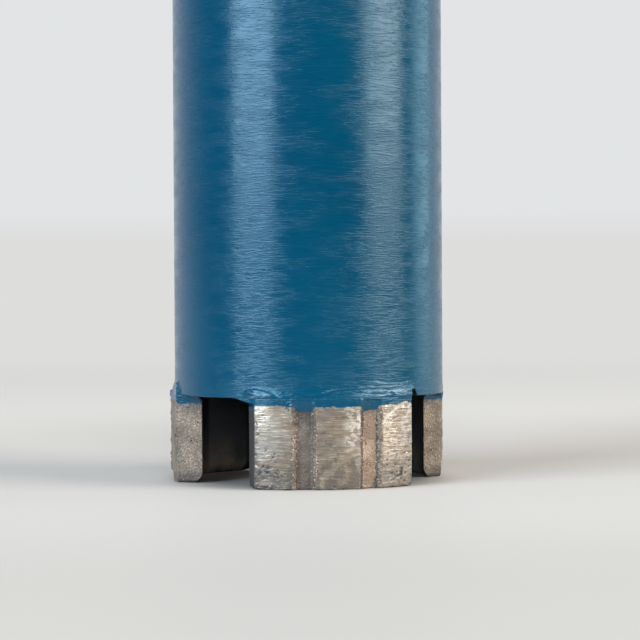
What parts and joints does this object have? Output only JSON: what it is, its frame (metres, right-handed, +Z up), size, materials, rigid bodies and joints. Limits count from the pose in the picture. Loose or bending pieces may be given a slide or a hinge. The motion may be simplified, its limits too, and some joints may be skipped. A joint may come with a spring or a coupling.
{
  "type": "diamond core bit",
  "caption": "Diamond core bit: painted thin-walled steel barrel, fluted diamond segments welded to its lower rim and a threaded drive hub.",
  "frame": {"origin": "on the bit's axis, in the cutting plane under the segments", "axes": "+Z up along the bit's axis, from the cutting edge to the thread's mouth; -Y through the middle of segment_1"},
  "size_m": [0.04, 0.0399, 0.183],
  "materials": {
    "barrel_paint": "satin",
    "hub_paint": "satin",
    "weld_paint": "satin",
    "sintered_metal": "satin"
  },
  "bodies": {
    "root": {"barrel_tube": "barrel_paint", "drive_hub": "hub_paint", "hub_weld": "weld_paint", "segment_1": "sintered_metal", "segment_2": "sintered_metal", "segment_3": "sintered_metal", "weld_seam_1": "weld_paint", "weld_seam_2": "weld_paint", "weld_seam_3": "weld_paint"}
  },
  "joints": []
}
